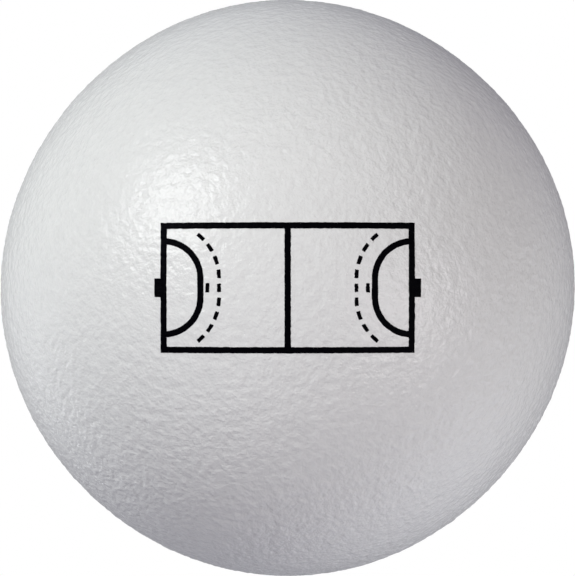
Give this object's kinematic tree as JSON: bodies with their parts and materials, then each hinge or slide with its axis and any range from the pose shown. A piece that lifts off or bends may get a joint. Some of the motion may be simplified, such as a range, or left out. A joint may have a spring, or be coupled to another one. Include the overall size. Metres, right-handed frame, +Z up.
{
  "type": "foam handball",
  "caption": "Soft ball for children's handball: foam core, sealing coat and tough grained white skin bonded in layers, with a plain court plan printed on one side.",
  "frame": {"origin": "centre of the ball", "axes": "+Z up, the print faces -Y, and +X is to the reader's right"},
  "size_m": [0.16, 0.16, 0.16],
  "materials": {
    "skin": "satin",
    "seal_coat": "matte",
    "foam": "matte",
    "ink": "satin"
  },
  "bodies": {
    "root": {"foam_core": "foam", "seal_coat": "seal_coat", "skin": "skin", "court_print": "ink"}
  },
  "joints": []
}
